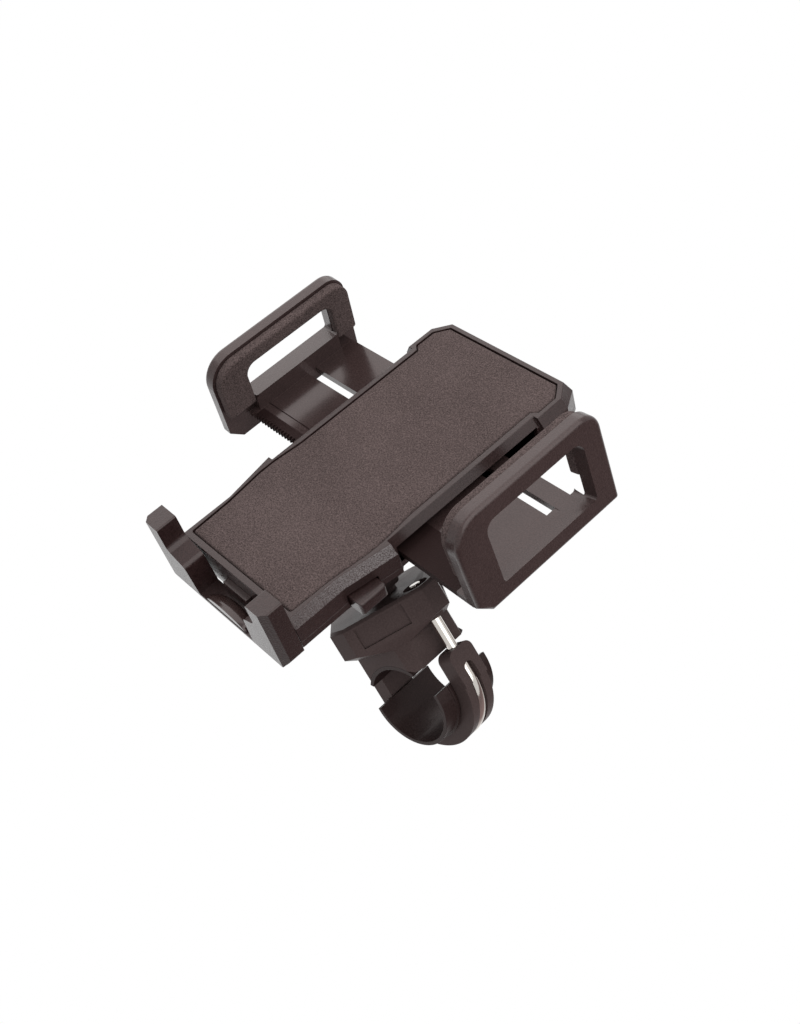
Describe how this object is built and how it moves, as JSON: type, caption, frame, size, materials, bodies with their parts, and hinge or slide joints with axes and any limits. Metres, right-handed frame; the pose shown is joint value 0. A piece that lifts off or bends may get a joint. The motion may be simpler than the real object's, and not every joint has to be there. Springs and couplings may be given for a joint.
{
  "type": "scooter phone holder",
  "caption": "Black plastic scooter phone holder with padded face, geared side jaws, pull-out foot, ball joint and U-bolt bar clamp",
  "frame": {"origin": "middle of the clamp's bore, on the bar's axis", "axes": "X across the cradle towards the jaw on the button side, Y from the foot to the far end of the cradle, Z out of the cradle's face"},
  "size_m": [0.1278, 0.1257, 0.1124],
  "materials": {
    "black_plastic": "fine spark-eroded matte black",
    "gloss_black": "polished black",
    "foam": "grainy closed-cell foam",
    "liner_rubber": "smooth matte rubber",
    "polished_steel": "polished, bright plated",
    "screw_steel": "plain plated steel",
    "gear_nylon": "natural moulded nylon"
  },
  "bodies": {
    "clamp": {"clamp_bridge": "black_plastic", "bridge_liner": "liner_rubber", "leg_nuts": "polished_steel", "leg_washers": "polished_steel"},
    "u_bolt_set": {"u_bolt": "polished_steel", "lower_saddle": "black_plastic", "saddle_liner": "liner_rubber"},
    "stud": {"ball_stud": "black_plastic"},
    "ring": {"locking_ring": "black_plastic"},
    "cradle": {"front_shell": "black_plastic", "rear_shell": "black_plastic", "face_pad": "foam", "shell_screws": "screw_steel", "pinion_pin": "screw_steel", "button_spring": "screw_steel"},
    "right_jaw_body": {"right_jaw": "black_plastic", "right_jaw_pad": "foam"},
    "left_jaw_body": {"left_jaw": "black_plastic", "left_jaw_pad": "foam"},
    "pinion_body": {"pinion": "gear_nylon"},
    "button_body": {"release_button": "black_plastic"},
    "foot_body": {"foot": "black_plastic", "foot_dome": "gloss_black"}
  },
  "joints": [
    {"name": "u_bolt_slide", "type": "slide", "parent": "clamp", "child": "u_bolt_set", "axis": [0.6327, -0.1059, -0.7672], "range_m": [-0.002, 0.005]},
    {"name": "swivel", "type": "hinge", "parent": "clamp", "child": "stud", "pos_m": [-0.01582, 0.00265, 0.01918], "axis": [-0.6327, 0.1059, 0.7672], "continuous": true},
    {"name": "tilt", "type": "hinge", "parent": "stud", "child": "ring", "pos_m": [-0.031, 0.00519, 0.03759], "axis": [0.165, 0.9863, 0], "range_deg": [-79, 1]},
    {"name": "spin", "type": "hinge", "parent": "ring", "child": "cradle", "pos_m": [-0.031, 0.00519, 0.03759], "axis": [0, 0, 1], "continuous": true},
    {"name": "right_jaw_slide", "type": "slide", "parent": "cradle", "child": "right_jaw_body", "axis": [1, 0, 0], "range_m": [-0.02, 0.004]},
    {"name": "left_jaw_slide", "type": "slide", "parent": "cradle", "child": "left_jaw_body", "axis": [-1, 0, 0], "range_m": [-0.0201, 0.0041]},
    {"name": "pinion_turn", "type": "hinge", "parent": "cradle", "child": "pinion_body", "pos_m": [-0.031, 0.01219, 0.06109], "axis": [0, 0, 1], "range_deg": [-384, 78.4]},
    {"name": "button_press", "type": "slide", "parent": "cradle", "child": "button_body", "axis": [-1, 0, 0], "range_m": [0, 0.0025], "stiffness_N_per_m": 300, "springref_m": -0.002, "deforming": ["button_spring"]},
    {"name": "foot_slide", "type": "slide", "parent": "cradle", "child": "foot_body", "axis": [0, -1, 0], "range_m": [0, 0.015]}
  ],
  "couplings": [
    {"joint": "left_jaw_slide", "follows": "right_jaw_slide", "ratio": 1},
    {"joint": "pinion_turn", "follows": "right_jaw_slide", "rad_per_m": 333.33}
  ]
}
